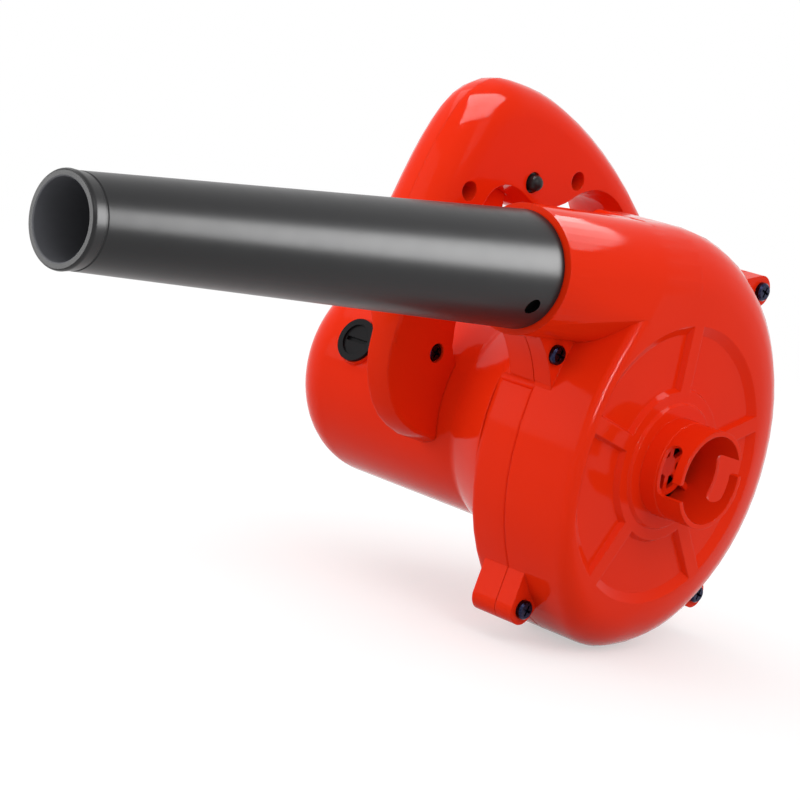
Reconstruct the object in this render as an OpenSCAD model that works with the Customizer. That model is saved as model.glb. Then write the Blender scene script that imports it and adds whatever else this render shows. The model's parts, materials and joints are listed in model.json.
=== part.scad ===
// Hand-held volute blower: a spiral fan casing with a bayonet intake collar, a series motor in a
// round barrel behind it, a D handle with a trigger over the barrel, and a long tapered nozzle.
// Row frame: origin on the fan axis in the intake face, +X along the nozzle, +Y out of the
// intake, +Z up. Each module draws with x along the nozzle, y up and z as the depth behind the
// intake face, and stand() turns that into the row frame.

/* [Intake collar and outlet] */
// Outer diameter of the intake collar and of the outlet spigot
collar_d = 42.5; // [40:0.5:45]
// Height of the collar above the intake face, and length of the spigot
collar_h = 22; // [20:0.5:25]
// Wall of the collar and the spigot
collar_wall = 2.4; // [2:0.1:3]
// Outer diameter of the hub disc at the foot of the collar
hub_d = 55; // [52:1:58]
// Thickness of the finger grille behind the collar
grille_t = 2; // [1.5:0.5:3]
// Width of the bayonet slots
slot_w = 7.5; // [7:0.25:8.5]
// Depth of the bayonet slots' turned arm behind the rim, at its middle
slot_in = 8; // [7.5:0.25:9]
// Turn of the bayonet from the slot's mouth to its locked end, in degrees
slot_turn = 42; // [30:1:50]

/* [Fan casing] */
// Reach of the spiral towards the nozzle, from the fan axis
scroll_right = 61.7; // [61:0.1:63]
// Radius of the spiral's lower right arc
scroll_r = 88.4; // [86:0.2:90]
// Radius of the flatter arc that leads to the outlet
tongue_r = 106; // [100:1:112]
// Height of the nozzle axis above the fan axis
outlet_rise = 70.9; // [70:0.1:73]
// Radius of the outlet tube
tube_r = 26.4; // [26:0.1:27]
// Where the outlet tube ends and the nozzle begins
tube_end = 83; // [80:1:86]
// Depth of the front half, from the intake face to the seam
front_h = 34; // [33:0.5:36]
// Depth of the rear half, from the seam to its back wall
rear_h = 20; // [19:0.5:22]
// Edge radius of the intake face beside the tongue
edge_min = 4.5; // [3.5:0.5:6]
// Wall of the casing
shell_t = 2.6; // [2.2:0.1:3]
// Thickness of the intake face
face_t = 5; // [4.5:0.5:6]

/* [Face panels] */
// Number of ribs between the sunk panels
rib_n = 5; // [3:1:7]
// Width of a rib
rib_w = 6.8; // [5:0.2:9]
// Direction of the first rib, in degrees above the nozzle side
rib_a = 17; // [0:1:40]
// Inner radius of the panels
panel_in = 31.5; // [30:0.5:34]
// Outer radius of the panels
panel_out = 60; // [57:0.5:61]
// Depth of the panels
panel_deep = 2.4; // [1.5:0.1:3]
// Run of the panels' sloped sides
panel_slope = 4; // [2:0.5:5]

/* [Motor barrel] */
// Outer radius of the motor barrel
barrel_r = 48.5; // [48:0.1:50]
// Depth at which the flare behind the casing meets the barrel
flare_end = 81; // [78:1:84]
// Depth of the barrel's rear face
barrel_end = 184; // [182:1:190]
// Radius of the barrel's rear edge
barrel_edge = 24; // [20:1:26]
// Number of air slots in the rear face
vent_n = 14; // [10:1:18]
// Width of an air slot
vent_w = 3.2; // [2.4:0.2:4]

/* [Handle] */
// Depth of the handle's flat front
handle_front = 88; // [86:0.5:90]
// Thickness of the grip
handle_t = 34; // [32:1:36]
// Run of the rounded rim at the top of the grip, measured inwards from the outline
rim_in = 14; // [12:0.5:16]
// Run of the rounded rim at the tongue
rim_low = 5; // [4:0.5:6]
// Thickness of the tongue at the lower front
leg_t = 9; // [8:0.5:10]
// Clearance between the handle cover and the barrel
cover_gap = 0.2; // [0.1:0.05:0.4]

/* [Nozzle] */
// Length of the nozzle
nozzle_l = 233.6; // [200:0.2:260]
// Outer radius at the base
base_r = 23.85; // [23.5:0.05:24.5]
// Outer radius just behind the lip
neck_r = 15.8; // [15:0.1:16]
// Outer radius of the lip
lip_r = 16.6; // [16.2:0.1:17.5]
// Bore radius of the mouth
mouth_r = 14; // [13:0.1:14.4]
// Clearance between the nozzle and the spigot
nozzle_gap = 0.2; // [0.1:0.05:0.4]

/* [Fan and motor] */
// Outer radius of the fan
fan_r = 53; // [50:0.5:54]
// Number of fan blades
blade_n = 9; // [7:1:12]
// Radius of the motor shaft
shaft_r = 4; // [3.9:0.1:4.2]
// Radial clearance of running fits
run_gap = 0.05; // [0.03:0.01:0.08]
// Outer radius of the bearings
bearing_r = 11; // [10.5:0.5:12]
// Width of the bearings
bearing_w = 7; // [6:0.5:8]
// Length of the field and armature stacks
stack_l = 45; // [40:1:50]
// Radius of the commutator
comm_r = 11; // [10.5:0.5:12]
// Direction of the brush pair, in degrees above the nozzle side
brush_a = 19; // [10:1:25]

/* [Controls] */
// Travel of the trigger
trigger_travel = 5; // [4:0.5:5.5]
// Travel of the lock button
lock_travel = 3; // [2:0.5:3]
// Radius of the cord inlet
cord_r = 4.2; // [3.5:0.1:4.5]

/* [Hidden] */

$fn = 64;
eps = 0.01;

shell_red = [0.86, 0.1, 0.05];
pipe_black = [0.12, 0.12, 0.13];
screw_black = [0.1, 0.1, 0.14];
steel = [0.72, 0.73, 0.75];
copper = [0.72, 0.42, 0.22];
brass = [0.78, 0.65, 0.35];
carbon = [0.16, 0.16, 0.17];
switch_grey = [0.22, 0.22, 0.23];
fan_grey = [0.62, 0.64, 0.66];

collar_r = collar_d / 2;
bore_r = collar_r - collar_wall;
// Height of the full band at the collar's root, and how far it stands out
band_h = collar_h - slot_in - slot_w / 2 - 1.2;
band_step = 0.3;
// Direction of the collar's slot mouths
collar_a = -16.5;
spigot_end = tube_end + collar_h;
tube_bore = tube_r - shell_t - 0.5;
dome_x = 12;
seam = front_h;
rear_wall = front_h + rear_h;

// Spiral outline: arcs whose ends share a normal, so that each runs on from the last. The
// normal turns from straight up at the first arc to the shoulder's direction at the last.
shoulder_a = 28.7;
scroll_turns = [90, 180, 225, 270, 315, 360, 360 + shoulder_a];
scroll_steps = [14, 7, 7, 7, 7, 4];
scroll_top = outlet_rise + tube_r + 0.1;
axis_drop = 5.5;
low_radii = [91.7, 82.2, 58.2, scroll_r, tongue_r];
top_r = scroll_top - low_centre(0)[1];
scroll_radii = concat([top_r], low_radii);
shoulder_reach = low_centre(4) * polar(1, shoulder_a) + tongue_r;
shoulder_y = 62.5;
round_steps = 6;
// Edge radius of the intake face against the direction of the wall's normal
edge_radii = [[90, tube_r], [180, 28.5], [225, 27], [270, 22.5], [300, 15], [340, edge_min]];

// Casing screws in the ears round the spiral: [x, y], and where each ear's root lies
ears = [[59.4, 39.2], [43.8, -68.9], [-73.9, 73.8], [-77.5, -65.8]];
ear_roots = [[44, 40], [38, -56], [-50, 66], [-54, -56]];
ear_r = 7;
ear_root_r = 10;
ear_front = 9;
ear_back = 13;
seam_gap = 0.15;
// Hollow of the gusset between the spiral and the outlet tube
gusset_centre = [102.6, 9.3];
gusset_r = 47.7;
screw_head_r = 4.1;
screw_r = 2;

// Handle outline at the parting plane, counter-clockwise from the tongue
handle_mid = handle_front + handle_t / 2;
handle_path = [[48, -17], [62, -14], [77, -6], [87, 7], [91.5, 22], [90, 42], [84.5, 64],
    [77, 86], [70.5, 105], [63, 121.5], [54, 133.5], [42, 140.5], [30, 141.5], [14, 139.5],
    [-2, 135], [-22, 126.5], [-44, 114], [-66, 97.5], [-84, 77.5], [-94, 55], [-95, 33],
    [-87, 10], [-73, -8], [-52, -20], [-20, -26], [20, -24]];
// Finger opening at the parting plane, counter-clockwise from its lower front corner
grip_path = [[42, 22], [47, 42], [48, 62], [47.5, 80], [44, 91], [37, 95], [28, 93.5], [18, 89],
    [6, 87.5], [-6, 91], [-16, 96.5], [-27, 98.5], [-39, 95], [-50, 85], [-57, 68], [-58, 48],
    [-50, 26], [-30, 12], [10, 6]];
rim_steps = 5;
grip_flare = 4;
leg_end_y = 31;
leg_slope = 0.5;
cover_screws = [[59.4, 93.6], [-9.8, 104.5], [-78, 62]];
tongue_screw = [58, 24.1];
recess_r = 4.2;
recess_deep = 11;

trigger_x = [26.5, 45.5];
trigger_low = 83.5;
trigger_w = 17;
trigger_top = 101.5;
trigger_mid = (trigger_x[0] + trigger_x[1]) / 2;
// Depth of the spring's pocket in the trigger
spring_sunk = 10;
switch_box = [[3, 107, handle_mid - 11], [49, 125, handle_mid + 11]];
switch_nose = [[2, 97.5, handle_mid - 8.5], [24.5, 107 + eps, handle_mid + 8.5]];
lock_at = [20, 101];
lock_r = 4.2;
lock_pocket = 2.7;
lock_sunk = 5;
// Posts that hold the switch: left ends and height span
post_x = [10, 38];
post_y = [110, 118];
// Direction of the leads' hole from the barrel into the rear leg
lead_a = 165;

stack_z = 80;
stack_end = stack_z + stack_l;
comm_z = [stack_end + 12, stack_end + 28];
brush_z = stack_end + 19;
front_bearing_z = 55;
rear_bearing_z = barrel_end - 19;
field_r = barrel_r - 5.5;
armature_r = barrel_r - 25.6;
// Depth of the winding slots' centres below the armature's skin
slot_sunk = 5.5;
// Overhang and section of the armature's end windings
wind_r = 4.4;
wind_in = 9;
// Half widths of a field pole and of the coil round it
pole_half = 9;
coil_half = 16;
coil_over = 7;
// Where the brush holders start and end, and the brush caps' seat
holder_r = [comm_r + 5, barrel_r - 4.5];
cap_seat = barrel_r - 4.3;
brush_l = 18;
boss_out = 10.6;
boss_in = 8.7;
plate_z = rear_wall - shell_t - 3;
fan_z = [9, 40];
plate_r = 54;
plate_bolt_r = 50.5;
// Directions round the outlet's axis, from the front towards the top
lug_a = -8;
window_a = -29;

function polar(r, a) = [r * cos(a), r * sin(a)];
function mix(a, b, t) = a + (b - a) * t;
function ramp(t) = min(1, max(0, t));

// Centre of one of the arcs after the top one
function low_centre(i) = i == 4 ? [scroll_right - tongue_r, -axis_drop]
    : low_centre(i + 1) + polar(low_radii[i + 1] - low_radii[i], scroll_turns[i + 2]);

function scroll_centre(i) = i == 0 ? low_centre(0) + [top_r - low_radii[0], 0]
    : low_centre(i - 1);

function edge_r(a) = lookup(a, edge_radii);

// One point of the spiral casing's skin: centre, radius and normal of its arc, inset by wall w,
// rounded by r, at turn f of the rounding (0 on the wall, 90 on the face)
function skin(c, big, a, w, r, f, top) =
    let (p = c + polar(big - w - r * (1 - cos(f)), a)) [p[0], p[1], top + r * (1 - sin(f))];

// The shoulder's point at height y, or at the top line where y is undef
function shoulder(w, r, f, top, r_top, y) =
    let (reach = shoulder_reach - w - edge_min * (1 - cos(f)),
        h = is_undef(y) ? scroll_top - w - r_top * (1 - cos(f)) : y - w - r * (1 - cos(f)))
    [(reach - h * sin(shoulder_a)) / cos(shoulder_a), h, top + r * (1 - sin(f))];

function inner_r(r, w) = max(r - w, 1);

// Ring of the casing's skin at turn f, for an inset w below a face at depth top
function casing_ring(w, f, top) = concat(
    [shoulder(w, inner_r(edge_min, w), f, top, 0, shoulder_y)],
    [shoulder(w, inner_r(tube_r, w), f, top, inner_r(tube_r, w))],
    [for (j = [0:5], i = [(j == 0 ? 0 : 1):scroll_steps[j]])
        let (a = mix(scroll_turns[j], scroll_turns[j + 1], i / scroll_steps[j]))
        skin(scroll_centre(j), scroll_radii[j], a, w, inner_r(edge_r(a), w), f, top)]);

// The same outline as a flat ring at depth z, drawn in by w
function flat_ring(w, z) = [for (p = casing_ring(w, 0, 0)) [p[0], p[1], z]];

// A closed smooth curve through the points of a path, with n steps between two of them
function curve(path, n) = let (m = len(path)) [for (i = [0:m - 1], k = [0:n - 1])
    let (t = k / n, a = path[(i + m - 1) % m], b = path[i], c = path[(i + 1) % m],
        d = path[(i + 2) % m])
    0.5 * (2 * b + (c - a) * t + (2 * a - 5 * b + 4 * c - d) * t * t
        + (3 * b - a - 3 * c + d) * t * t * t)];

// The curve moved inwards at depth z by w, and by v more at the height of the grip's top
function inset(path, w, z, v = 0) = let (m = len(path)) [for (i = [0:m - 1])
    let (s = path[(i + 1) % m] - path[(i + m - 1) % m], l = norm(s),
        d = w + v * ramp((path[i][1] + 10) / 130))
    [path[i][0] - d * s[1] / l, path[i][1] + d * s[0] / l, z]];

// A closed skin through rings of equally many points, each ring counter-clockwise, z rising
module loft(rings) {
    n = len(rings[0]);
    last = (len(rings) - 1) * n;
    polyhedron([for (ring = rings) each ring], concat(
        [[for (i = [0:n - 1]) i], [for (i = [n - 1:-1:0]) last + i]],
        [for (j = [0:len(rings) - 2], i = [0:n - 1])
            let (a = j * n + i, b = j * n + (i + 1) % n)
            each [[a, a + n, b + n], [a, b + n, b]]]), convexity = 6);
}

module stand() rotate([90, 0, 0]) children();

// A cylinder along x from x0 to x1 round the point [y, z]
module along_x(r, x0, x1, at = [outlet_rise, seam])
    translate([x0, at[0], at[1]]) rotate([0, 90, 0]) cylinder(r = r, h = x1 - x0);

module box(low, high) translate(low) cube(high - low);

module below_seam() box([-150, -150, -60], [200, 150, seam]);

module above_seam() box([-150, -150, seam], [200, 150, seam + 60]);

module ring(r_out, r_in, h) difference() {
    cylinder(r = r_out, h = h);
    translate([0, 0, -1]) cylinder(r = r_in, h = h + 2);
}

// ---------------------------------------------------------------- fan casing

// One bayonet slot in a collar of height h that stands on z = 0, mouth at angle a
module bayonet_slot(a, h) {
    r_in = bore_r - 2;
    cut = collar_wall + 4;
    z_mid = h - slot_in;
    arm_w = slot_w - 0.06;
    rotate([0, 0, a]) translate([r_in, 0, z_mid]) rotate([0, 90, 0]) linear_extrude(cut) {
        circle(r = slot_w / 2);
        translate([-slot_in - 1, -slot_w / 2]) square([slot_in + 1, slot_w]);
    }
    rotate([0, 0, a + 1]) rotate_extrude(angle = slot_turn - 2)
        translate([r_in, z_mid - arm_w / 2]) square([cut, arm_w]);
    rotate([0, 0, a + slot_turn]) translate([r_in, 0, z_mid]) rotate([0, 90, 0])
        cylinder(r = slot_w / 2, h = cut);
}

// The intake collar, with a full band at its root that a pushed-on socket seats on
module bayonet_collar(a) difference() {
    rotate_extrude() polygon([[bore_r, -eps], [collar_r, -eps], [collar_r, band_h],
        [collar_r - band_step, band_h + band_step], [collar_r - band_step, collar_h],
        [bore_r, collar_h]]);
    for (half = [0, 180]) bayonet_slot(a + half, collar_h);
}

// Spoked guard across the intake, behind the face
module grille() difference() {
    cylinder(r = bore_r + 1, h = grille_t);
    translate([0, 0, -1]) linear_extrude(grille_t + 2) difference() {
        circle(r = bore_r);
        circle(r = 4.5);
        difference() {
            circle(r = 12.6);
            circle(r = 9.8);
        }
        for (i = [0:5]) rotate(30 + 60 * i) translate([0, -1.3]) square([bore_r + 1, 2.6]);
    }
}

// Two discs and the straight band that wraps them
module web(a, ra, b, rb) {
    way = atan2(b[1] - a[1], b[0] - a[0]);
    off = acos((ra - rb) / norm(b - a));
    translate(a) circle(r = ra);
    translate(b) circle(r = rb);
    polygon([a + polar(ra, way + off), a + polar(ra, way - off), b + polar(rb, way - off),
        b + polar(rb, way + off)]);
}

// The four screw ears between two depths; the first is a gusset under the outlet tube
module all_ears(z0, z1) translate([0, 0, z0]) linear_extrude(z1 - z0) {
    difference() {
        polygon([[40, 18], [57, 18], [57.5, 26], [76, 48], [76, 62], [40, 62]]);
        translate(gusset_centre) circle(r = gusset_r);
    }
    for (i = [1:3]) web(ears[i], ear_r, ear_roots[i], ear_root_r);
}

// The slope from the high intake face, whose corner is at [x, y], down to the outlet tube
module fairing(r, corner, start_z, end_x) {
    top_x = corner[0] - (outlet_rise - corner[1]) * tan(shoulder_a);
    hull() {
        translate([0, 0, start_z]) linear_extrude(r)
            polygon([[5, corner[1]], corner, [top_x, outlet_rise], [5, outlet_rise]]);
        along_x(r, 5, top_x, [outlet_rise, start_z + r], $fn = 48);
        along_x(r, end_x - 1, end_x, $fn = 48);
    }
}

// Sunk panels between the ribs of the intake face
module panels() difference() {
    intersection() {
        rotate_extrude() polygon([[panel_in, -1], [panel_out + panel_slope / panel_deep, -1],
            [panel_out - panel_slope, panel_deep], [panel_in + panel_slope / 2, panel_deep]]);
        translate([0, 0, -2]) linear_extrude(panel_deep + 4)
            polygon([for (p = casing_ring(4, 90, 0)) [p[0], p[1]]]);
    }
    for (i = [0:rib_n - 1]) rotate([0, 0, rib_a + 360 * i / rib_n]) rotate([90, 0, 90])
        linear_extrude(panel_out + 10) polygon([[-rib_w / 2, -2], [rib_w / 2, -2],
            [rib_w / 2, 0], [rib_w / 2 + 1.6, panel_deep + 1], [-rib_w / 2 - 1.6, panel_deep + 1],
            [-rib_w / 2, 0]]);
}

// The outlet's bore through both halves
module outlet_room() outlet_turn() polygon([[0, 12], [tube_bore, 12],
    [tube_bore, tube_end - dome_x - 4], [bore_r, tube_end - dome_x - 4],
    [bore_r, spigot_end - dome_x + 1], [0, spigot_end - dome_x + 1]]);

// A revolve about the outlet's axis, drawn as [radius, distance from the tube's domed end]
module outlet_turn() translate([dome_x, outlet_rise, seam]) rotate([0, 90, 0])
    rotate_extrude() children();

// The outlet tube with its spigot, and a blunt cone where it leaves the spiral's back wall
module outlet_tube() outlet_turn() polygon([[0, -12], [16, -10], [tube_r, 2],
    [tube_r, tube_end - dome_x], [collar_r, tube_end - dome_x],
    [collar_r, spigot_end - dome_x], [0, spigot_end - dome_x]]);

// The fan's room in the front half
module front_room() {
    loft(concat([for (k = [4:-1:0]) casing_ring(shell_t, 90 * k / 4, face_t)],
        [flat_ring(shell_t, seam + 1)]));
    outlet_room();
}

module front_body() {
    loft(concat([for (k = [round_steps:-1:0]) casing_ring(0, 90 * k / round_steps, 0)],
        [flat_ring(0, seam - 0.5), flat_ring(0.5, seam)]));
    intersection() {
        union() {
            outlet_tube();
            fairing(tube_r - 0.1, [36.7, 60.6], 0, tube_end - 0.5);
        }
        below_seam();
    }
    all_ears(seam - ear_front, seam - seam_gap);
    translate([0, 0, -1.4]) cylinder(r1 = hub_d / 2 - 1, r2 = hub_d / 2, h = 1.4 + eps);
}

module fan_cover() color(shell_red) stand() {
    difference() {
        front_body();
        front_room();
        spigot_slots();
        panels();
        translate([0, 0, -3]) cylinder(r = bore_r, h = face_t + 4);
        for (i = [0:3]) translate(concat(ears[i], 0)) {
            cylinder(r = screw_r + 0.2, h = seam + 1);
            cylinder(r = screw_head_r + 0.6, h = seam - ear_front);
        }
    }
    mirror([0, 0, 1]) bayonet_collar(collar_a);
    grille();
}

// The outlet spigot's bayonet slots, cut from both halves of the casing
module spigot_slots() translate([tube_end, outlet_rise, seam]) rotate([0, 90, 0])
    for (half = [0, 180]) bayonet_slot(lug_a + half - slot_turn, collar_h);

// ---------------------------------------------------------------- handle

handle_curve = curve(handle_path, 2);
grip_curve = curve(grip_path, 3);

// The whole handle as one rounded slab, drawn in by w on every side
module handle_slab(w) {
    half = handle_t / 2 - w;
    loft([for (k = [-rim_steps:rim_steps]) let (f = 90 * k / rim_steps)
        inset(handle_curve, rim_low * (1 - cos(f)) + w, handle_mid + half * sin(f),
            (rim_in - rim_low) * (1 - cos(f)))]);
}

// The finger opening, flared towards both faces, with a wall w kept round it
module grip_hole(w) {
    half = handle_t / 2 + 1;
    loft([for (k = [-3:3]) let (f = abs(k) / 3)
        inset(grip_curve, -w - grip_flare * f * f * f, handle_mid + half * k / 3)]);
}

// What is cut away behind the front leg, where it thins towards its tip, w in from the skin
module leg_relief(w) {
    z0 = handle_front + leg_t - w;
    rise = handle_t + 10;
    translate([40, 0, 0]) rotate([90, 0, 90]) linear_extrude(60)
        polygon([[-60, z0], [leg_end_y, z0], [leg_end_y + rise / leg_slope, z0 + rise],
            [-60, z0 + rise]]);
}

// Room inside the handle for the switch and the leads
module handle_cavity() difference() {
    intersection() {
        handle_slab(3);
        box([-120, 12, 0], [120, 150, 200]);
    }
    grip_hole(3);
    leg_relief(-eps + 3);
    cylinder(r = barrel_r + 3, h = 200);
    box([44, 0, 0], [120, 62, 200]);
    for (p = cover_screws) translate(concat(p, 0)) cylinder(r = recess_r + 2.2, h = 200);
}

module handle_blank() difference() {
    handle_slab(0);
    grip_hole(0);
    leg_relief(0);
}

module trigger_slot(gap) box([trigger_x[0] - gap, trigger_low, handle_mid - trigger_w / 2 - gap],
    [trigger_x[1] + gap, 110, handle_mid + trigger_w / 2 + gap]);

module cord_hole() translate([-80, 26, handle_mid]) rotate([0, 0, 205]) rotate([0, 90, 0])
    cylinder(r = cord_r, h = 40);

module handle_cover() color(shell_red) stand() {
    difference() {
        intersection() {
            handle_blank();
            box([-120, -60, 0], [120, 160, handle_mid]);
        }
        handle_cavity();
        cylinder(r = barrel_r + cover_gap, h = 200);
        for (p = cover_screws) translate(concat(p, 0)) {
            cylinder(r = recess_r, h = handle_front + recess_deep);
            cylinder(r = screw_r, h = 200);
        }
        translate(concat(tongue_screw, 0)) {
            cylinder(r = recess_r, h = handle_front + 3);
            cylinder(r = screw_r, h = 200);
        }
        translate(concat(lock_at, 0)) cylinder(r = lock_r + 0.4, h = handle_mid);
        trigger_slot(0.4);
        cord_hole();
    }
    switch_posts(handle_front + 2, switch_box[0][2] - 0.05);
}

// ---------------------------------------------------------------- motor housing

// Outline of the barrel and its flare, for a revolve about the fan axis
module barrel_section(w, z0) {
    r = barrel_r - w;
    edge = barrel_edge - w;
    end = barrel_end - w;
    translate([0, z0]) square([r, end - edge - z0]);
    translate([0, end - edge - eps]) square([r - edge, edge + eps]);
    translate([r - edge, end - edge]) intersection() {
        circle(r = edge);
        square(edge + 1);
    }
}

module brush_bosses(r, r0, r1) for (half = [0, 180]) rotate([0, 0, brush_a + half])
    translate([r0, 0, brush_z]) rotate([0, 90, 0]) cylinder(r = r, h = r1 - r0);

// The fan's room in the rear half
module rear_room() {
    loft([flat_ring(shell_t, seam - 1), flat_ring(shell_t, rear_wall - shell_t - 2),
        flat_ring(shell_t + 2, rear_wall - shell_t)]);
    outlet_room();
}

// The motor's room, with the rear bearing's seat and the hole behind the shaft
module motor_room() difference() {
    seat_r = bearing_r + run_gap;
    seat_end = rear_bearing_z + bearing_w;
    rotate_extrude() barrel_section(2.5, rear_wall - 10);
    rotate_extrude() polygon([[seat_r, rear_bearing_z - 3], [bearing_r + 3.5, rear_bearing_z - 3],
        [bearing_r + 3.5, barrel_end], [0, barrel_end], [0, seat_end + 2.5],
        [bearing_r - 2.5, seat_end + 2.5], [bearing_r - 2.5, seat_end], [seat_r, seat_end]]);
}

module rear_body() {
    intersection() {
        union() {
            loft([flat_ring(0.5, seam), flat_ring(0, seam + 0.5), flat_ring(0, rear_wall - 4),
                flat_ring(1.2, rear_wall - 1.2), flat_ring(4.3, rear_wall)]);
            outlet_tube();
        }
        above_seam();
    }
    rotate_extrude() {
        barrel_section(0, rear_wall - 1);
        polygon([[0, rear_wall - 1], [scroll_right - 1, rear_wall - 1],
            [scroll_right - 1, rear_wall], [barrel_r, flare_end], [0, flare_end]]);
    }
    all_ears(seam + seam_gap, seam + ear_back);
    tongue_boss();
    brush_bosses(boss_out, barrel_r - 10.5, barrel_r + 1);
}

module motor_housing() color(shell_red) stand() {
    difference() {
        difference() {
            union() {
                rear_body();
                intersection() {
                    handle_blank();
                    box([-120, -60, handle_mid], [120, 160, 200]);
                }
            }
            rear_room();
        }
        motor_room();
        difference() {
            handle_cavity();
            cylinder(r = barrel_r, h = 200);
        }
        spigot_slots();
        for (i = [0:vent_n - 1]) rotate([0, 0, 360 * (i + 0.5) / vent_n])
            box([bearing_r + 6, -vent_w / 2, barrel_end - 8],
                [barrel_r - barrel_edge + 10, vent_w / 2, barrel_end + 1]);
        brush_bosses(boss_in, barrel_r - 18.5, barrel_r + 5);
        for (p = ears) translate(concat(p, 0)) cylinder(r = screw_r - 0.2, h = seam + ear_back - 2);
        for (p = cover_screws) translate(concat(p, 0))
            cylinder(r = screw_r - 0.2, h = handle_mid + 13);
        translate(concat(tongue_screw, 0)) cylinder(r = screw_r - 0.2, h = handle_front + leg_t + 13);
        for (i = [0:2]) rotate([0, 0, 90 + 120 * i]) translate([plate_bolt_r, 0, 0])
            cylinder(r = 1.3, h = rear_wall + 5);
        trigger_slot(0.4);
        cord_hole();
        rotate([0, 0, lead_a]) translate([barrel_r - 8, 0, handle_mid]) rotate([0, 90, 0])
            cylinder(r = 4, h = 16);
    }
    for (i = [0:3]) rotate([0, 0, 45 + 90 * i])
        box([field_r + 0.15, -4, stack_z], [barrel_r - 1, 4, stack_z + stack_l]);
    switch_posts(switch_box[1][2] + 0.05, handle_front + handle_t - 2);
}

// Posts between two depths that hold the switch
module switch_posts(z0, z1) for (x = post_x) box([x, post_y[0], z0], [x + 4, post_y[1], z1]);

// Screw boss that the handle's tongue seats on, carried by the barrel
module tongue_boss() translate([0, 0, handle_front + leg_t + 0.1]) linear_extrude(15)
    web(tongue_screw, 5.5, [42, 16], 5);

// ---------------------------------------------------------------- nozzle

module nozzle() color(pipe_black) translate([tube_end, 0, 0]) stand()
    translate([0.1, outlet_rise, seam]) rotate([0, 90, 0]) {
        socket_r = collar_r + nozzle_gap;
        difference() {
            rotate_extrude() polygon([[socket_r, 0], [base_r, 0], [neck_r, nozzle_l - 13],
                [lip_r, nozzle_l - 12.4], [lip_r, nozzle_l - 1], [lip_r - 1, nozzle_l],
                [mouth_r + 0.8, nozzle_l], [mouth_r, nozzle_l - 0.8], [mouth_r, nozzle_l - 13],
                [bore_r, collar_h + 6], [bore_r, collar_h + 1.5], [socket_r, collar_h + 0.6]]);
            rotate([0, 0, window_a]) translate([socket_r - 1, 0, 11.5])
                rotate([0, 90, 0]) cylinder(r = 2.1, h = 6);
        }
        for (half = [0, 180]) rotate([0, 0, lug_a + half])
            translate([bore_r + 0.2, 0, collar_h - slot_in]) rotate([0, 90, 0])
                cylinder(r = slot_w / 2 - 0.4, h = base_r - bore_r - 2);
    }

// ---------------------------------------------------------------- fasteners

// A pan head screw along z with its head's top at z = 0 and a cross cut in it
module screw(head_r, head_h, r, l) {
    difference() {
        union() {
            translate([0, 0, 0.8]) cylinder(r = head_r, h = head_h - 0.8);
            cylinder(r1 = head_r - 0.7, r2 = head_r, h = 0.81);
            cylinder(r = r, h = l);
        }
        for (turn = [0, 90]) rotate([0, 0, turn + 20])
            box([-head_r * 0.6, -0.5, -1], [head_r * 0.6, 0.5, head_h * 0.55]);
    }
}

module housing_screws() color(screw_black) stand() for (p = ears)
    translate([p[0], p[1], seam - ear_front - 2.6])
        screw(screw_head_r, 2.6, screw_r - 0.25, 21);

module handle_screws() color(screw_black) stand() {
    for (p = cover_screws) translate([p[0], p[1], handle_front + recess_deep - 2.5])
        screw(recess_r - 0.3, 2.5, screw_r - 0.25, 19);
    translate([tongue_screw[0], tongue_screw[1], handle_front + 0.5])
        screw(recess_r - 0.3, 2.5, screw_r - 0.25, 19);
}

module plate_screws() color(steel) stand() for (i = [0:2]) rotate([0, 0, 90 + 120 * i])
    translate([plate_bolt_r, 0, plate_z - 1.8]) screw(2.6, 1.8, 1.25, 9);

// ---------------------------------------------------------------- controls

module trigger() color(shell_red) stand() difference() {
    union() {
        translate([0, 0, handle_mid - trigger_w / 2]) linear_extrude(trigger_w)
            trigger_outline();
        box([trigger_x[0] - 1.2, trigger_top - 2.5, handle_mid - trigger_w / 2 - 1.2],
            [trigger_x[1] + 1.2, trigger_top, handle_mid + trigger_w / 2 + 1.2]);
    }
    translate([trigger_mid, trigger_top + 1, handle_mid]) rotate([90, 0, 0])
        cylinder(r = 4.2, h = spring_sunk + 1);
}

module trigger_outline() difference() {
    union() {
        translate([trigger_x[0], trigger_low + 5])
            square([trigger_x[1] - trigger_x[0], trigger_top - trigger_low - 5]);
        translate([trigger_x[0] + 5, trigger_low]) square([trigger_x[1] - trigger_x[0] - 10, 8]);
        for (x = [trigger_x[0] + 5, trigger_x[1] - 5]) translate([x, trigger_low + 5])
            circle(r = 5);
    }
    translate([trigger_mid, trigger_low - 21.5]) circle(r = 23);
}

// A coil of wire w round the z axis, drawn as one tube with six sides
module coil(r, w, h, turns) {
    steps = 12;
    n = ceil(turns * steps);
    points = [for (i = [0:n]) let (a = 360 * i / steps, z = mix(w, h - w, i / n))
        for (k = [0:5]) let (b = -60 * k)
            [(r + w * cos(b)) * cos(a), (r + w * cos(b)) * sin(a), z + w * sin(b)]];
    polyhedron(points, concat([[for (k = [0:5]) k], [for (k = [5:-1:0]) n * 6 + k]],
        [for (i = [0:n - 1], k = [0:5]) let (a = i * 6 + k, b = i * 6 + (k + 1) % 6)
            each [[a, a + 6, b + 6], [a, b + 6, b]]]));
}

module trigger_spring() color(steel) stand()
    translate([trigger_mid, trigger_top - spring_sunk + 0.1, handle_mid]) rotate([-90, 0, 0])
        coil(3.4, 0.4, switch_box[0][1] - trigger_top + spring_sunk - 0.2, 5);

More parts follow.
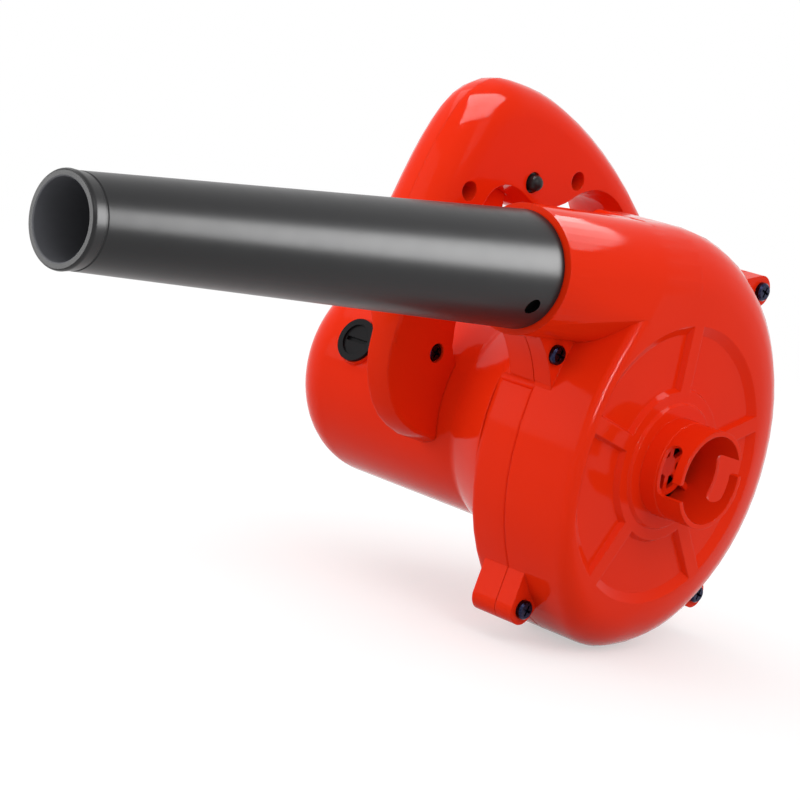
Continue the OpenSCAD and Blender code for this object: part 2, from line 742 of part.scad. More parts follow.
// Domed button on a stem with a flange behind the handle's wall, hollow for its spring
module lock_button() color(pipe_black) stand() translate(concat(lock_at, handle_front))
    rotate_extrude() polygon(concat(
        [for (f = [0:15:90]) [(lock_r - 0.6) * sin(f), -1 - (lock_r - 0.6) * cos(f)]],
        [[lock_r - 0.6, 1], [lock_r, 1], [lock_r, 3.6], [lock_r + 0.9, 3.6], [lock_r + 0.9, 4.8],
            [lock_pocket, 4.8], [lock_pocket, 4.8 - lock_sunk], [0, 4.8 - lock_sunk]]));

module lock_spring() color(steel) stand()
    translate(concat(lock_at, handle_front + 4.9 - lock_sunk))
        coil(2.1, 0.3, switch_nose[0][2] - handle_front - 5 + lock_sunk, 4);

module switch_body() color(switch_grey) stand() {
    difference() {
        union() {
            box(switch_box[0], switch_box[1]);
            box(switch_nose[0], switch_nose[1]);
        }
        translate([6, 121, 0]) cylinder(r = 1.6, h = 200);
    }
}

// ---------------------------------------------------------------- fan

blade_in = 22;
blade_a = 35;

// One backward curved blade between the radii, as the gap of two circles
module blade_outline() intersection() {
    difference() {
        circle(r = fan_r - 0.5);
        circle(r = blade_in);
    }
    difference() {
        translate([30, 16]) circle(r = 36);
        translate([30, 16]) circle(r = 34.4);
        translate([-40, -100]) square([70, 200]);
        translate([-100, 16]) square([200, 100]);
    }
}

module impeller() color(fan_grey) stand() difference() {
    union() {
        translate([0, 0, fan_z[1] - 2]) cylinder(r = fan_r, h = 2);
        translate([0, 0, fan_z[0]]) ring(fan_r, blade_in + 3, 1.6);
        cylinder_between(9, 16, fan_z[1]);
        for (i = [0:blade_n - 1]) rotate([0, 0, 360 * i / blade_n])
            translate([0, 0, fan_z[0] + 1]) linear_extrude(fan_z[1] - fan_z[0] - 2)
                blade_outline();
    }
    translate([0, 0, -1]) cylinder(r = shaft_r + run_gap, h = fan_z[1] + 2);
}

module cylinder_between(r, z0, z1) translate([0, 0, z0]) cylinder(r = r, h = z1 - z0);

module fan_washer() color(steel) stand() translate([0, 0, 14.4]) ring(8, shaft_r + run_gap, 1.5);

module fan_nut() color(steel) stand() translate([0, 0, 9.6]) difference() {
    cylinder(r = 7.5, h = 4.7, $fn = 6);
    translate([0, 0, -1]) cylinder(r = shaft_r + run_gap, h = 8);
}

// ---------------------------------------------------------------- motor

module rotor_shaft() color(steel) stand() {
    cylinder_between(shaft_r, 7, rear_bearing_z + bearing_w + 1.2);
}

module slots(r, n, hole) for (i = [0:n - 1]) rotate(360 * i / n) {
    translate([r, 0]) circle(r = hole, $fn = 24);
    translate([r, -hole * 0.4]) square([10, hole * 0.8]);
}

module armature_core() color(steel) stand() translate([0, 0, stack_z]) linear_extrude(stack_l)
    difference() {
        circle(r = armature_r);
        circle(r = shaft_r + run_gap);
        slots(armature_r - slot_sunk, 12, 3);
    }

module armature_windings() color(copper) stand() {
    wide = armature_r - slot_sunk + 0.1 - wind_in;
    for (z = [stack_z - 2 * wind_r - 0.2, stack_end + 0.2]) translate([0, 0, z])
        rotate_extrude() translate([wind_in, 0]) {
            square([wide, 2 * wind_r]);
            translate([wide, wind_r]) circle(r = wind_r);
        }
    for (i = [0:11]) rotate([0, 0, 30 * i]) translate([armature_r - slot_sunk, 0, stack_z - 2])
        cylinder(r = 2.7, h = stack_l + 4, $fn = 24);
}

module commutator() color(copper) stand() translate([0, 0, comm_z[0]]) difference() {
    ring(comm_r, shaft_r + run_gap, comm_z[1] - comm_z[0]);
    for (i = [0:11]) rotate([0, 0, 15 + 30 * i])
        box([comm_r - 1, -0.35, -1], [comm_r + 1, 0.35, comm_z[1] - comm_z[0] - 2]);
}

module bearing_inner_rings() color(steel) stand() for (z = [front_bearing_z, rear_bearing_z])
    translate([0, 0, z]) difference() {
        ring(6.4, shaft_r + run_gap / 2, bearing_w);
        translate([0, 0, bearing_w / 2]) rotate_extrude() translate([7.8, 0]) circle(r = 2.1);
    }

// Outer ring, shields and balls of one bearing
module bearing_outer() {
    difference() {
        ring(bearing_r, 9.1, bearing_w);
        translate([0, 0, bearing_w / 2]) rotate_extrude() translate([7.8, 0]) circle(r = 2.1);
    }
    for (i = [0:6]) rotate([0, 0, 360 * i / 7]) translate([7.8, 0, bearing_w / 2])
        sphere(r = 2, $fn = 24);
}

module front_bearing() color(steel) stand() translate([0, 0, front_bearing_z]) bearing_outer();

module rear_bearing() color(steel) stand() translate([0, 0, rear_bearing_z]) bearing_outer();

module bearing_plate() color(fan_grey) stand() difference() {
    rotate_extrude() polygon([[bearing_r - 2.5, plate_z], [plate_r, plate_z],
        [plate_r, plate_z + 2.9], [bearing_r + 3, plate_z + 2.9],
        [bearing_r + 3, front_bearing_z + bearing_w],
        [bearing_r + run_gap, front_bearing_z + bearing_w],
        [bearing_r + run_gap, front_bearing_z], [bearing_r - 2.5, front_bearing_z]]);
    for (i = [0:5]) rotate([0, 0, 60 * i]) translate([28, 0, plate_z - 1])
        cylinder(r = 7, h = 5);
    for (i = [0:2]) rotate([0, 0, 90 + 120 * i]) translate([plate_bolt_r, 0, plate_z - 1])
        cylinder(r = 1.5, h = 5);
}

module field_core() color(steel) stand() translate([0, 0, stack_z]) linear_extrude(stack_l)
    difference() {
        circle(r = field_r);
        difference() {
            circle(r = field_r - 6);
            for (side = [-1, 1]) translate([-pole_half, side * 20 - 20])
                square([2 * pole_half, 40]);
            intersection() {
                circle(r = armature_r + 4.5);
                union() {
                    for (side = [-1, 1]) translate([-coil_half - 1, side * 30 - 20])
                        square([2 * coil_half + 2, 40]);
                }
            }
        }
        circle(r = armature_r + 0.7);
    }

module field_coils() color(copper) stand() for (side = [0, 180]) rotate([0, 0, side])
    difference() {
        box([-coil_half, armature_r + 4.8, stack_z - coil_over],
            [coil_half, field_r - 10, stack_end + coil_over]);
        box([-pole_half - 0.3, 0, stack_z - 0.3], [pole_half + 0.3, field_r, stack_end + 0.3]);
    }

module brush_frame(r0, r1) for (half = [0, 180]) rotate([0, 0, brush_a + half])
    translate([r0, 0, brush_z]) rotate([0, 90, 0]) children();

module brush_holders() color(brass) stand() brush_frame(holder_r[0]) difference() {
    holder_l = holder_r[1] - holder_r[0];
    cylinder(r = boss_in - 0.3, h = holder_l);
    translate([-5.2, -3.2, -1]) cube([10.4, 6.4, holder_l + 2]);
}

module carbon_brushes() color(carbon) stand() brush_frame(comm_r + 0.3)
    translate([-5, -3, 0]) cube([10, 6, brush_l]);

module brush_springs() color(steel) stand() {
    from = comm_r + 0.6 + brush_l;
    brush_frame(from) coil(2.3, 0.35, cap_seat - 0.4 - from, 4);
}

module brush_caps() color(pipe_black) stand() brush_frame(cap_seat) difference() {
    union() {
        cylinder(r = boss_in - 0.3, h = 5.5);
        translate([0, 0, 5.4]) cylinder(r = boss_out - 0.8, h = 1.8);
    }
    translate([0, 0, 6.2]) cylinder(r = 7, h = 2);
    translate([-6, -0.9, 4.6]) cube([12, 1.8, 4]);
}

fan_cover();
motor_housing();
handle_cover();
nozzle();
housing_screws();
handle_screws();
trigger();
trigger_spring();
lock_button();
lock_spring();
switch_body();
impeller();
fan_nut();
fan_washer();
rotor_shaft();
armature_core();
armature_windings();
commutator();
bearing_inner_rings();
front_bearing();
rear_bearing();
bearing_plate();
plate_screws();
field_core();
field_coils();
brush_holders();
carbon_brushes();
brush_springs();
brush_caps();
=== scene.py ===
"""Looks for the hand-held blower: materials, camera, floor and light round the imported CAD."""

import json
import math

import bmesh
import bpy
from mathutils import Matrix, Vector


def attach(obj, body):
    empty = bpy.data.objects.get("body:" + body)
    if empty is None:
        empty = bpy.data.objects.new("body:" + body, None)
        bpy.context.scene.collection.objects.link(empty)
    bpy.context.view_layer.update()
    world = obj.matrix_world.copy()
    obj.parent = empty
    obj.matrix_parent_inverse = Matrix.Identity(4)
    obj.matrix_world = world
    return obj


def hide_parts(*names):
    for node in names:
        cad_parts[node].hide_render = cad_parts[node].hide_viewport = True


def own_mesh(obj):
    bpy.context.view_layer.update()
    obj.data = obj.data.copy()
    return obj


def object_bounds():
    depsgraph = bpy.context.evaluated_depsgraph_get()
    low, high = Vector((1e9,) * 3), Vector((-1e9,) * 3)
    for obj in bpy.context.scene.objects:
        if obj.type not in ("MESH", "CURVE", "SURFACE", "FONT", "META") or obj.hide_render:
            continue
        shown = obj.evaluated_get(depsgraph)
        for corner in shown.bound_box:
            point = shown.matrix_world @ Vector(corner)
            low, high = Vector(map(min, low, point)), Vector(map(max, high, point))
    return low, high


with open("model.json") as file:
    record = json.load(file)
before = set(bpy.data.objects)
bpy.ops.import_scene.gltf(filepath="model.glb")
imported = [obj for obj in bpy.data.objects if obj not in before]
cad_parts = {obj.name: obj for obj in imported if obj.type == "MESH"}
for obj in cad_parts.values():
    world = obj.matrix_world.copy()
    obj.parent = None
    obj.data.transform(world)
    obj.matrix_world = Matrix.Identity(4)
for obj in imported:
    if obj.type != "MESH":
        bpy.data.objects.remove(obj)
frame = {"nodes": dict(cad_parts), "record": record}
cad_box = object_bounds()
NODES = frame["nodes"]


def show(obj):
    """Put a new object in the scene."""
    bpy.context.scene.collection.objects.link(obj)
    return obj


# ---------------------------------------------------------------- camera

# fitted to the photograph's circles: its place, and its right, up and back directions
CAMERA_AT = Vector((0.81662, 0.56720, 0.15440))
CAMERA_AXES = (
    (-0.67096, 0.71190, 0.20737),
    (0.02817, -0.25499, 0.96653),
    (0.74095, 0.65435, 0.15103),
)
CAMERA_LENS = 107.96
SENSOR = 36.0
CLIP_NEAR = 0.02
CLIP_FAR = 50


def make_camera():
    """The camera that sees the object as the photograph does."""
    data = bpy.data.cameras.new("camera")
    data.lens = CAMERA_LENS
    data.sensor_width = SENSOR
    data.clip_start = CLIP_NEAR
    data.clip_end = CLIP_FAR
    obj = show(bpy.data.objects.new("camera", data))
    turn = Matrix(CAMERA_AXES).transposed().to_4x4()
    obj.matrix_world = Matrix.Translation(CAMERA_AT) @ turn
    bpy.context.scene.camera = obj


# ---------------------------------------------------------------- materials

# where a noise texture's values mostly lie
NOISE_LOW = 0.3
NOISE_HIGH = 0.7
# noise scales: slow drift of a colour, uneven polish, drawn or turned marks
DRIFT = 9.0
POLISH = 160.0
MARKS = 900.0
MARK_DEPTH = 0.00002
PLAIN_DETAIL = 2.0
FINE_DETAIL = 3.0
EVEN = (1, 1, 1)


class Nodes:
    """A material's node tree with short helpers."""

    def __init__(self, name):
        self.material = bpy.data.materials.new(name)
        self.material.use_nodes = True
        self.tree = self.material.node_tree
        self.shader = next(n for n in self.tree.nodes if n.type == "BSDF_PRINCIPLED")
        self.place = self.add("ShaderNodeTexCoord").outputs["Object"]

    def add(self, kind, **values):
        """A new node, with its properties."""
        node = self.tree.nodes.new(kind)
        for key, value in values.items():
            setattr(node, key, value)
        return node

    def link(self, source, target):
        """A link from an output to an input."""
        self.tree.links.new(source, target)

    def noise(self, scale, detail=PLAIN_DETAIL, stretch=None):
        """Noise fixed to the object, stretched along its axes where that is given."""
        node = self.add("ShaderNodeTexNoise")
        node.inputs["Scale"].default_value = scale
        node.inputs["Detail"].default_value = detail
        place = self.place
        if stretch:
            mapping = self.add("ShaderNodeMapping")
            mapping.inputs["Scale"].default_value = stretch
            self.link(place, mapping.inputs["Vector"])
            place = mapping.outputs["Vector"]
        self.link(place, node.inputs["Vector"])
        return node.outputs["Fac"]

    def span(self, factor, low, high):
        """A noise's values, spread from low to high."""
        node = self.add("ShaderNodeMapRange")
        node.inputs["From Min"].default_value = NOISE_LOW
        node.inputs["From Max"].default_value = NOISE_HIGH
        node.inputs["To Min"].default_value = low
        node.inputs["To Max"].default_value = high
        self.link(factor, node.inputs["Value"])
        return node.outputs["Result"]

    def colours(self, factor, low, high):
        """A base colour that drifts from one to the other."""
        node = self.add("ShaderNodeMix", data_type="RGBA")
        self.link(self.span(factor, 0.0, 1.0), node.inputs["Factor"])
        node.inputs["A"].default_value = (*low, 1)
        node.inputs["B"].default_value = (*high, 1)
        self.link(node.outputs["Result"], self.shader.inputs["Base Color"])

    def roughness(self, factor, low, high):
        """A roughness that varies from low to high."""
        self.link(self.span(factor, low, high), self.shader.inputs["Roughness"])

    def bump(self, height, distance, edge=0.0):
        """A bump of a depth in metres; with edge, sharp edges are shaded as if rounded."""
        node = self.add("ShaderNodeBump")
        if edge:
            rounded = self.add("ShaderNodeBevel", samples=4)
            rounded.inputs["Radius"].default_value = edge
            self.link(rounded.outputs["Normal"], node.inputs["Normal"])
        node.inputs["Distance"].default_value = distance
        node.inputs["Strength"].default_value = 1.0
        self.link(height, node.inputs["Height"])
        self.link(node.outputs["Normal"], self.shader.inputs["Normal"])

    def sockets(self, **values):
        """Set the shader's other sockets and give the material."""
        for key, value in values.items():
            self.shader.inputs[key.replace("_", " ")].default_value = value
        return self.material


def plastic(name, low, high, rough, grain, depth, edge=0.0, **sockets):
    """Moulded plastic: a slight colour drift, spark-eroded grain and uneven polish."""
    m = Nodes(name)
    m.colours(m.noise(DRIFT, FINE_DETAIL), low, high)
    m.roughness(m.noise(POLISH), *rough)
    m.bump(m.noise(grain, FINE_DETAIL), depth, edge)
    return m.sockets(**sockets)


def metal(name, low, high, rough, stretch=EVEN):
    """Metal with fine drawn or turned marks along one direction."""
    m = Nodes(name)
    marks = m.noise(MARKS, stretch=stretch)
    m.colours(marks, low, high)
    m.roughness(marks, *rough)
    m.bump(marks, MARK_DEPTH)
    return m.sockets(Metallic=1.0)


def make_materials():
    """The material of each slot in the record, and three that only this script uses."""
    return {
        "shell_plastic": plastic(
            "red_shell", low=(0.74, 0.022, 0.003), high=(0.80, 0.027, 0.004),
            rough=(0.07, 0.1), grain=2600.0, depth=0.000003, edge=0.0006,
            Specular_IOR_Level=0.045,
        ),
        "nozzle_plastic": plastic(
            "black_satin", low=(0.011, 0.011, 0.012), high=(0.014, 0.014, 0.015),
            rough=(0.31, 0.34), grain=2200.0, depth=0.000001, Specular_IOR_Level=0.25,
        ),
        # painted shade: a darker black than the nozzle's plastic, which stands for the shade deep
        # in the shallow blind window
        "window_shade": plastic(
            "window_painted_shade_black", low=(0.002, 0.002, 0.002), high=(0.003, 0.003, 0.003),
            rough=(0.7, 0.8), grain=1200.0, depth=0.00001, Specular_IOR_Level=0.0,
        ),
        "cap": plastic(
            "black_cap", low=(0.008, 0.008, 0.009), high=(0.011, 0.011, 0.012),
            rough=(0.3, 0.36), grain=2200.0, depth=0.000002, edge=0.0003,
            Specular_IOR_Level=0.06,
        ),
        # painted light: the bore is the nozzle's own black plastic, painted a lighter grey to
        # stand for the light inside the tube
        "bore": plastic(
            "bore_painted_light_grey", low=(0.085, 0.086, 0.096), high=(0.1, 0.102, 0.112),
            rough=(0.5, 0.6), grain=1200.0, depth=0.00001, Specular_IOR_Level=0.3,
        ),
        "switch_plastic": plastic(
            "switch_grey", low=(0.03, 0.03, 0.032), high=(0.04, 0.04, 0.043),
            rough=(0.4, 0.5), grain=2000.0, depth=0.00001,
        ),
        "fan_plastic": plastic(
            "fan_grey", low=(0.17, 0.18, 0.19), high=(0.24, 0.25, 0.26),
            rough=(0.42, 0.55), grain=1400.0, depth=0.00002,
        ),
        "carbon": plastic(
            "brush_carbon", low=(0.018, 0.018, 0.019), high=(0.03, 0.03, 0.031),
            rough=(0.5, 0.62), grain=1800.0, depth=0.00002,
        ),
        "black_steel": metal(
            "blued_screw", low=(0.012, 0.013, 0.035), high=(0.03, 0.032, 0.07),
            rough=(0.24, 0.34),
        ),
        "steel": metal(
            "bright_steel", low=(0.55, 0.56, 0.58), high=(0.68, 0.69, 0.7),
            rough=(0.2, 0.32), stretch=(1, 0.08, 1),
        ),
        "core_steel": metal(
            "sheet_stack", low=(0.22, 0.22, 0.23), high=(0.42, 0.42, 0.43),
            rough=(0.35, 0.5), stretch=(0.05, 2.2, 0.05),
        ),
        "copper": metal(
            "enamelled_copper", low=(0.48, 0.16, 0.06), high=(0.66, 0.26, 0.11),
            rough=(0.24, 0.36),
        ),
        "brass": metal(
            "drawn_brass", low=(0.62, 0.42, 0.16), high=(0.72, 0.52, 0.22),
            rough=(0.22, 0.34), stretch=(1, 0.1, 1),
        ),
        "cast_aluminium": metal(
            "cast_aluminium", low=(0.5, 0.51, 0.53), high=(0.62, 0.63, 0.65),
            rough=(0.38, 0.52),
        ),
    }


# ---------------------------------------------------------------- shading of the CAD nodes

SHARP = math.radians(26)
WELD_GAP = 0.000002


def smooth(obj):
    """Smooth shading between facets that meet at a small angle; the vertices stay as they are."""
    mesh = obj.data
    custom = mesh.attributes.get("custom_normal")
    if custom:
        mesh.attributes.remove(custom)
    for polygon in mesh.polygons:
        polygon.use_smooth = True
    weld = obj.modifiers.new("weld", "WELD")
    weld.merge_threshold = WELD_GAP
    split = obj.modifiers.new("split", "EDGE_SPLIT")
    split.split_angle = SHARP
    split.use_edge_sharp = False
    weighted = obj.modifiers.new("weighted", "WEIGHTED_NORMAL")
    weighted.mode = "FACE_AREA_WITH_ANGLE"


def dress_nodes(materials):
    """Each CAD node's material and smooth shading. The brush caps have a black of their own."""
    slots = {s["node"]: s["material_slot"] for s in frame["record"]["subparts"]}
    for name, obj in NODES.items():
        obj.data.materials.clear()
        obj.data.materials.append(materials[slots[name]])
        smooth(obj)
    NODES["brush_caps"].data.materials[0] = materials["cap"]


# ---------------------------------------------------------------- pieces that stand for nodes

# the object that is seen for each node
SHOWN = dict(NODES)


def new_piece(name, mesh, body, node):
    """A piece that stands for a CAD node."""
    obj = show(bpy.data.objects.new(name, mesh))
    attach(obj, body)
    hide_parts(node)
    SHOWN[node] = obj
    return obj


def make_spring(node):
    """A copy of a spring, attached to the housing's body, shaded smooth and given a mesh of its
    own.
    """
    obj = new_piece(node + "_coil", NODES[node].data.copy(), "housing", node)
    smooth(obj)
    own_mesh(obj)


# The nozzle, in metres. Its axis is parallel to X, through NOZZLE_AXIS in Y and Z.
NOZZLE_AXIS = (-0.034, 0.0709)
NOZZLE_FOOT = 0.0831
NOZZLE_LENGTH = 0.2336
NOZZLE_MOUTH = (NOZZLE_FOOT + NOZZLE_LENGTH, *NOZZLE_AXIS)
SOCKET_DEPTH = 0.022
BASE_R = 0.02385
SOCKET_R = 0.02145
BORE_R = 0.01885
NECK_R = 0.01655
LIP_R = 0.0169
MOUTH_R = 0.014
TURNS = 128

# the wall's outline: (distance from the foot, radius)
FOOT_EDGE = (
    (0.0, SOCKET_R), (0.0, BASE_R - 0.0009), (0.0001, BASE_R - 0.0005),
    (0.0004, BASE_R - 0.0002), (0.0009, BASE_R - 0.00003),
)
# (distance from the mouth, radius): groove, flared lip, rounded mouth and the bore behind it
LIP = (
    (0.0066, NECK_R), (0.0063, NECK_R - 0.0003), (0.0058, NECK_R - 0.0003),
    (0.0055, NECK_R - 0.0001), (0.0019, LIP_R - 0.0001), (0.0013, LIP_R),
    (0.0007, LIP_R - 0.0001), (0.0002, LIP_R - 0.0004), (0.0, LIP_R - 0.0008),
    (0.0, MOUTH_R + 0.0005), (0.0003, MOUTH_R + 0.0001), (0.0007, MOUTH_R), (0.013, MOUTH_R),
)
# (distance from the foot, radius): the bore's wide end and the socket's shoulder
SHOULDER = (
    (SOCKET_DEPTH + 0.006, BORE_R), (SOCKET_DEPTH + 0.0015, BORE_R),
    (SOCKET_DEPTH + 0.0006, SOCKET_R),
)
NOZZLE_WALL = (*FOOT_EDGE, *((NOZZLE_LENGTH - back, r) for back, r in LIP), *SHOULDER)

# Pegs round the nozzle: distance from the foot, angle from the front towards the top, radius of
# the inner and the outer end, and the peg's own radius.
WINDOW_X = 0.0115
WINDOW_ANGLE = math.radians(-29)
WINDOW_FLOOR = 0.0216
WINDOW_TOP = 0.0260
WINDOW_R = 0.0036
LUG_X = 0.014
LUG_ANGLE = math.radians(-8)
LUG_INNER = 0.01905
LUG_OUTER = 0.02205
LUG_R = 0.00335
PEG_SIDES = 32

# A face belongs to the bore where its normal leans inwards by this much, and to the window where
# it lies on or in the peg that cut it, by these margins.
INWARDS = -0.2
FLOOR_MARGIN = 0.0001
SIDE_MARGIN = 0.00001


def round_x(x, radius, angle):
    """A point at an angle round the nozzle's axis, from the front towards the top."""
    y, z = NOZZLE_AXIS
    return (NOZZLE_FOOT + x, y + radius * math.cos(angle), z + radius * math.sin(angle))


def lathe(outline):
    """The closed outline turned round the nozzle's axis."""
    points = [
        round_x(x, r, math.tau * i / TURNS) for i in range(TURNS) for x, r in outline
    ]
    n = len(outline)
    faces = []
    for i in range(TURNS):
        a, b = i * n, (i + 1) % TURNS * n
        faces += [(a + k, a + (k + 1) % n, b + (k + 1) % n, b + k) for k in range(n)]
    return points, faces


def peg(x, angle, low, high, radius):
    """A round peg that points away from the nozzle's axis."""
    y, z = NOZZLE_AXIS
    points = []
    for depth in (low, high):
        for i in range(PEG_SIDES):
            turn = math.tau * i / PEG_SIDES
            aside = radius * math.sin(turn)
            points.append((
                NOZZLE_FOOT + x + radius * math.cos(turn),
                y + depth * math.cos(angle) - aside * math.sin(angle),
                z + depth * math.sin(angle) + aside * math.cos(angle),
            ))
    faces = [tuple(reversed(range(PEG_SIDES))), tuple(range(PEG_SIDES, 2 * PEG_SIDES))]
    for i in range(PEG_SIDES):
        j = (i + 1) % PEG_SIDES
        faces.append((i, j, PEG_SIDES + j, PEG_SIDES + i))
    return points, faces


def solid(name, *shapes):
    """A mesh of closed shapes, with the normals outwards."""
    points, faces = [], []
    for some_points, some_faces in shapes:
        first = len(points)
        points += some_points
        faces += [tuple(first + k for k in face) for face in some_faces]
    mesh = bpy.data.meshes.new(name)
    mesh.from_pydata(points, [], faces)
    form = bmesh.new()
    form.from_mesh(mesh)
    bmesh.ops.recalc_face_normals(form, faces=form.faces)
    form.to_mesh(mesh)
    form.free()
    return mesh


def cut(mesh, tool):
    """The mesh with the tool's shape taken out."""
    parts = [show(bpy.data.objects.new(m.name, m)) for m in (mesh, tool)]
    modifier = parts[0].modifiers.new("cut", "BOOLEAN")
    modifier.operation = "DIFFERENCE"
    modifier.solver = "EXACT"
    modifier.object = parts[1]
    graph = bpy.context.evaluated_depsgraph_get()
    result = bpy.data.meshes.new_from_object(parts[0].evaluated_get(graph))
    for part in parts:
        bpy.data.objects.remove(part)
    return result


def paint_nozzle(mesh, materials):
    """Satin black outside, a lighter grey in the bore as painted light, and a darker black in the
    window as painted shade.
    """
    looks = ("nozzle_plastic", "bore", "window_shade")
    outside, bore, window_shade = range(len(looks))
    mesh.materials.clear()
    for look in looks:
        mesh.materials.append(materials[look])
    y, z = NOZZLE_AXIS
    middle = Vector(round_x(WINDOW_X, 0.0, WINDOW_ANGLE))
    out = Vector((0, math.cos(WINDOW_ANGLE), math.sin(WINDOW_ANGLE)))
    # painted light: faces inside the bore take the lighter grey
    for face in mesh.polygons:
        spot, way = face.center, face.normal
        aim = (spot.y - y) * way.y + (spot.z - z) * way.z
        inside = aim < INWARDS * math.hypot(spot.y - y, spot.z - z)
        face.material_index = bore if inside else outside
        off = spot - middle
        deep = off.dot(out)
        aside = (off - deep * out).length
        # painted shade: the window's faces take the darker black
        if deep > WINDOW_FLOOR - FLOOR_MARGIN and aside < WINDOW_R + SIDE_MARGIN:
            face.material_index = window_shade


def make_nozzle(materials):
    """The nozzle with its rounded foot, short flared lip, blind window and bayonet lugs."""
    window = peg(WINDOW_X, WINDOW_ANGLE, WINDOW_FLOOR, WINDOW_TOP, WINDOW_R)
    tube = cut(solid("tube", lathe(NOZZLE_WALL)), solid("window", window))
    lugs = solid("lugs", *(peg(LUG_X, LUG_ANGLE + half, LUG_INNER, LUG_OUTER, LUG_R)
                           for half in (0, math.pi)))
    form = bmesh.new()
    form.from_mesh(tube)
    form.from_mesh(lugs)
    form.to_mesh(tube)
    form.free()
    obj = new_piece("nozzle_tube", tube, "nozzle", "nozzle")
    paint_nozzle(tube, materials)
    smooth(obj)


def make_pieces(materials):
    """The nozzle as the photograph shows it, and the springs that their buttons press."""
    make_nozzle(materials)
    make_spring("trigger_spring")
    make_spring("lock_spring")


# ---------------------------------------------------------------- world and floor

WHITE = (1, 1, 1, 1)
WORLD_LIGHT = 0.95

FLOOR_SIDE = 6.0
# how far from the origin the floor starts to fade, and where it has gone
FLOOR_NEAR = 0.45
FLOOR_FAR = 1.3
# brings the lit floor up to the background's white where the camera or a reflection sees it
FLOOR_GLOW = 0.5
FLOOR_DRIFT = 2.0


def seen_by(tree, *rays):
    """1 for rays of these kinds and 0 for all others."""
    path = tree.nodes.new("ShaderNodeLightPath")
    total = path.outputs[rays[0]]
    for ray in rays[1:]:
        most = tree.nodes.new("ShaderNodeMath")
        most.operation = "MAXIMUM"
        tree.links.new(total, most.inputs[0])
        tree.links.new(path.outputs[ray], most.inputs[1])
        total = most.outputs[0]
    return total


def mixed(tree, factor, low, high, output):
    """Two shaders mixed by a factor into the output's surface."""
    mix = tree.nodes.new("ShaderNodeMixShader")
    tree.links.new(factor, mix.inputs["Fac"])
    tree.links.new(low.outputs[0], mix.inputs[1])
    tree.links.new(high.outputs[0], mix.inputs[2])
    tree.links.new(mix.outputs[0], output.inputs["Surface"])


def make_world():
    """White to the camera and in reflections, and slightly less bright as a light."""
    world = bpy.data.worlds.new("world")
    world.use_nodes = True
    bpy.context.scene.world = world
    tree = world.node_tree
    output = next(n for n in tree.nodes if n.type == "OUTPUT_WORLD")
    shade = next(n for n in tree.nodes if n.type == "BACKGROUND")
    white = tree.nodes.new("ShaderNodeBackground")
    for background, strength in ((shade, WORLD_LIGHT), (white, 1.0)):
        background.inputs["Color"].default_value = WHITE
        background.inputs["Strength"].default_value = strength
    seen = seen_by(tree, "Is Camera Ray", "Is Glossy Ray", "Is Transmission Ray")
    mixed(tree, seen, shade, white, output)


def floor_material():
    """Matt white that takes the object's shadow and fades into the white world far out."""
    m = Nodes("pale_floor")
    output = next(n for n in m.tree.nodes if n.type == "OUTPUT_MATERIAL")
    m.colours(m.noise(FLOOR_DRIFT), low=(0.5, 0.5, 0.5), high=(0.52, 0.52, 0.52))
    m.sockets(Roughness=0.95, Specular_IOR_Level=0.1)
    power = m.add("ShaderNodeMath", operation="MULTIPLY")
    power.inputs[1].default_value = FLOOR_GLOW
    m.link(seen_by(m.tree, "Is Camera Ray", "Is Glossy Ray"), power.inputs[0])
    glow = m.add("ShaderNodeEmission")
    m.link(power.outputs[0], glow.inputs["Strength"])
    both = m.add("ShaderNodeAddShader")
    m.link(m.shader.outputs[0], both.inputs[0])
    m.link(glow.outputs[0], both.inputs[1])
    length = m.add("ShaderNodeVectorMath", operation="LENGTH")
    m.link(m.place, length.inputs[0])
    fade = m.add("ShaderNodeMapRange", interpolation_type="SMOOTHSTEP")
    fade.inputs["From Min"].default_value = FLOOR_NEAR
    fade.inputs["From Max"].default_value = FLOOR_FAR
    m.link(length.outputs["Value"], fade.inputs["Value"])
    mixed(m.tree, fade.outputs["Result"], both, m.add("ShaderNodeBsdfTransparent"), output)
    return m.material


def make_floor(low):
    """A square floor at the height low."""
    mesh = bpy.data.meshes.new("floor")
    side = FLOOR_SIDE
    corners = [(-side, -side), (side, -side), (side, side), (-side, side)]
    mesh.from_pydata([(x, y, low) for x, y in corners], [], [(0, 1, 2, 3)])
    floor = show(bpy.data.objects.new("floor", mesh))
    mesh.materials.append(floor_material())


# ---------------------------------------------------------------- lamps

MIDDLE = (0.08, -0.04, 0.02)
# the spot of the nozzle's axis that the streak's lamp aims at, how far off that lamp stands, and
# how many degrees up from level it is reflected to
STREAK_SPOT = Vector((0.2, *NOZZLE_AXIS))
STREAK_OFF = 1.3
STREAK_ANGLE = 26


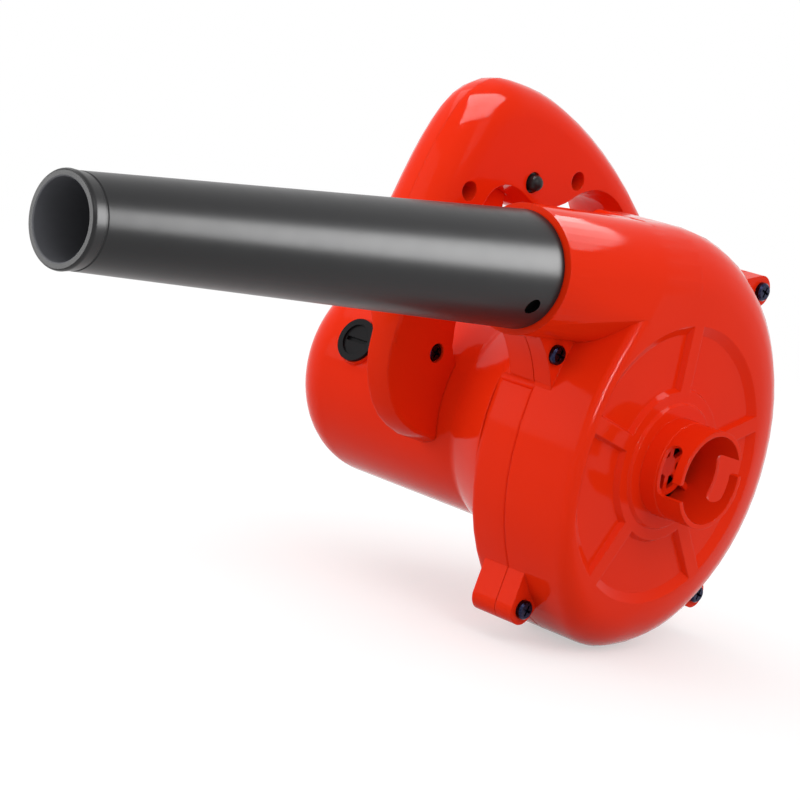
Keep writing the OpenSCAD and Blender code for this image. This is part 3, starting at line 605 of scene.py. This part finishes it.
def streak_lamp():
    """Where the nozzle reflects the photograph's view to, at STREAK_ANGLE round its axis."""
    view = (CAMERA_AT - STREAK_SPOT).normalized()
    across = math.sqrt(1 - view.x ** 2)
    turn = math.radians(STREAK_ANGLE)
    way = Vector((-view.x, across * math.cos(turn), across * math.sin(turn)))
    return STREAK_SPOT + STREAK_OFF * way


# name, place, target, size, watts, and the one node that reflects a lamp that lights nothing
LAMPS = (
    ("key", (0.5, 1.1, 1.1), MIDDLE, (0.7, 0.7), 4, None),
    ("left", (1.3, -0.8, 0.5), MIDDLE, (1.0, 1.0), 6, None),
    ("streak", streak_lamp(), STREAK_SPOT, (0.8, 0.68), 26.5, "nozzle"),
    ("face", (0.698, -0.493, 0.007), NOZZLE_MOUTH, (0.3, 0.16), 1.0, "nozzle"),
    ("window", (-0.0455, -0.0020, 0.2360), (0.0700, -0.0140, 0.0900), (0.18, 0.07), 0.42,
     "fan_cover"),
    ("edge", (0.518, 1.131, 0.459), (0.05, 0.0, 0.03), (0.36, 0.5), 30, "fan_cover"),
    ("arch", (0.112, -0.060, 0.366), (0.055, -0.096, 0.129), (0.28, 0.2), 6.5,
     "handle_cover"),
    ("rim", (0.2, -1.2, 1.1), MIDDLE, (1.2, 0.5), 3, None),
)


def area_light(name, at, target, size, power, node):
    """A soft box. With a node it is only a reflection, on that node alone."""
    data = bpy.data.lights.new(name, "AREA")
    data.shape = "RECTANGLE"
    data.size, data.size_y = size
    data.energy = power
    obj = show(bpy.data.objects.new(name, data))
    obj.location = at
    away = Vector(target) - Vector(at)
    obj.rotation_euler = away.to_track_quat("-Z", "Y").to_euler()
    if node:
        obj.visible_diffuse = False
        shown = bpy.data.collections.new(name + "_seen_in")
        shown.objects.link(SHOWN[node])
        obj.light_linking.receiver_collection = shown


make_camera()
looks = make_materials()
dress_nodes(looks)
make_pieces(looks)
make_world()
make_floor(cad_box[0][2])
for lamp in LAMPS:
    area_light(*lamp)
bpy.context.scene.view_settings.view_transform = "Standard"
